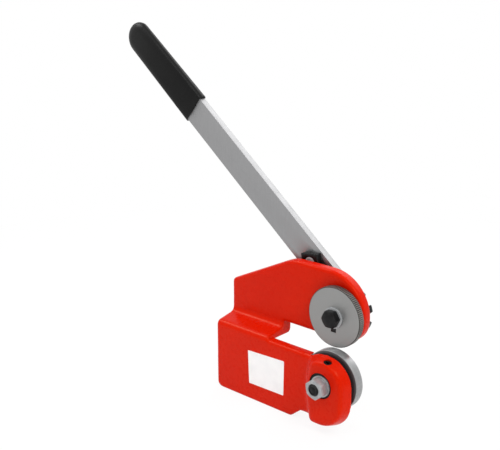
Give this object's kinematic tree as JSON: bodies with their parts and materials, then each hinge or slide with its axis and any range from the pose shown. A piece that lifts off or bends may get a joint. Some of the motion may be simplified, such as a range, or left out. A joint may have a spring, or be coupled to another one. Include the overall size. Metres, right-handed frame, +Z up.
{
  "type": "bench rotary shear",
  "caption": "Hand-lever rotary shear: a cast Z-section throat carries a knurled driven cutting wheel over a smooth free one; foot bolts down or goes in a vice.",
  "frame": {"origin": "middle of the foot's underside, on the mid-plane of the lower arm", "axes": "+Z up, +X from the throat's closed end toward the cutting wheels, -Y toward the lower arm's bossed front face; the wheels' axes run along Y"},
  "size_m": [0.4679, 0.11, 0.4919],
  "materials": {
    "casting": "gloss",
    "lever_steel": "satin",
    "cutter_steel": "satin",
    "roller_steel": "polished",
    "shaft_steel": "satin",
    "black_steel": "satin",
    "zinc_steel": "polished",
    "bronze": "satin",
    "grip_plastic": "matte"
  },
  "bodies": {
    "base": {"frame": "casting", "arm_bushing": "bronze", "set_screw": "black_steel"},
    "drive": {"drive_shaft": "shaft_steel", "upper_cutter": "cutter_steel", "cutter_key": "black_steel", "cutter_washer": "zinc_steel", "cutter_bolt": "black_steel", "ratchet_wheel": "black_steel", "ratchet_key": "black_steel", "lever_washer": "zinc_steel", "lever_bolt": "black_steel"},
    "lever": {"lever_bar": "lever_steel", "grip": "grip_plastic", "lever_bushing": "bronze", "pawl_bolt": "zinc_steel", "pawl_washer": "zinc_steel", "pawl_nut": "zinc_steel", "pawl_spring": "shaft_steel"},
    "pawl": {"pawl": "black_steel"},
    "adjuster": {"eccentric_bush": "black_steel", "lower_axle": "shaft_steel", "axle_washer": "zinc_steel", "axle_nut": "zinc_steel"},
    "roller": {"lower_cutter": "roller_steel", "cutter_bushing": "bronze"}
  },
  "joints": [
    {"name": "lever_swing", "type": "hinge", "parent": "base", "child": "lever", "pos_m": [0.11825, 0.0565, 0.147], "axis": [0, 1, 0], "range_deg": [-30, 145]},
    {"name": "drive_turn", "type": "hinge", "parent": "base", "child": "drive", "pos_m": [0.11825, 0.0188, 0.147], "axis": [0, 1, 0], "range_deg": [-30, 145]},
    {"name": "pawl_lift", "type": "hinge", "parent": "lever", "child": "pawl", "pos_m": [0.05608, 0.0468, 0.19735], "axis": [0, 1, 0], "range_deg": [0, 11], "stiffness_Nm_per_rad": 0.25, "springref_deg": -34.38},
    {"name": "gap_adjust", "type": "hinge", "parent": "base", "child": "adjuster", "pos_m": [0.12495, -0.01, 0.0672], "axis": [0, 1, 0], "range_deg": [-10, 10]},
    {"name": "roller_spin", "type": "hinge", "parent": "adjuster", "child": "roller", "pos_m": [0.12575, 0.006, 0.0672], "axis": [0, 1, 0], "continuous": true}
  ],
  "couplings": [
    {"joint": "drive_turn", "follows": "lever_swing", "ratio": 1}
  ]
}
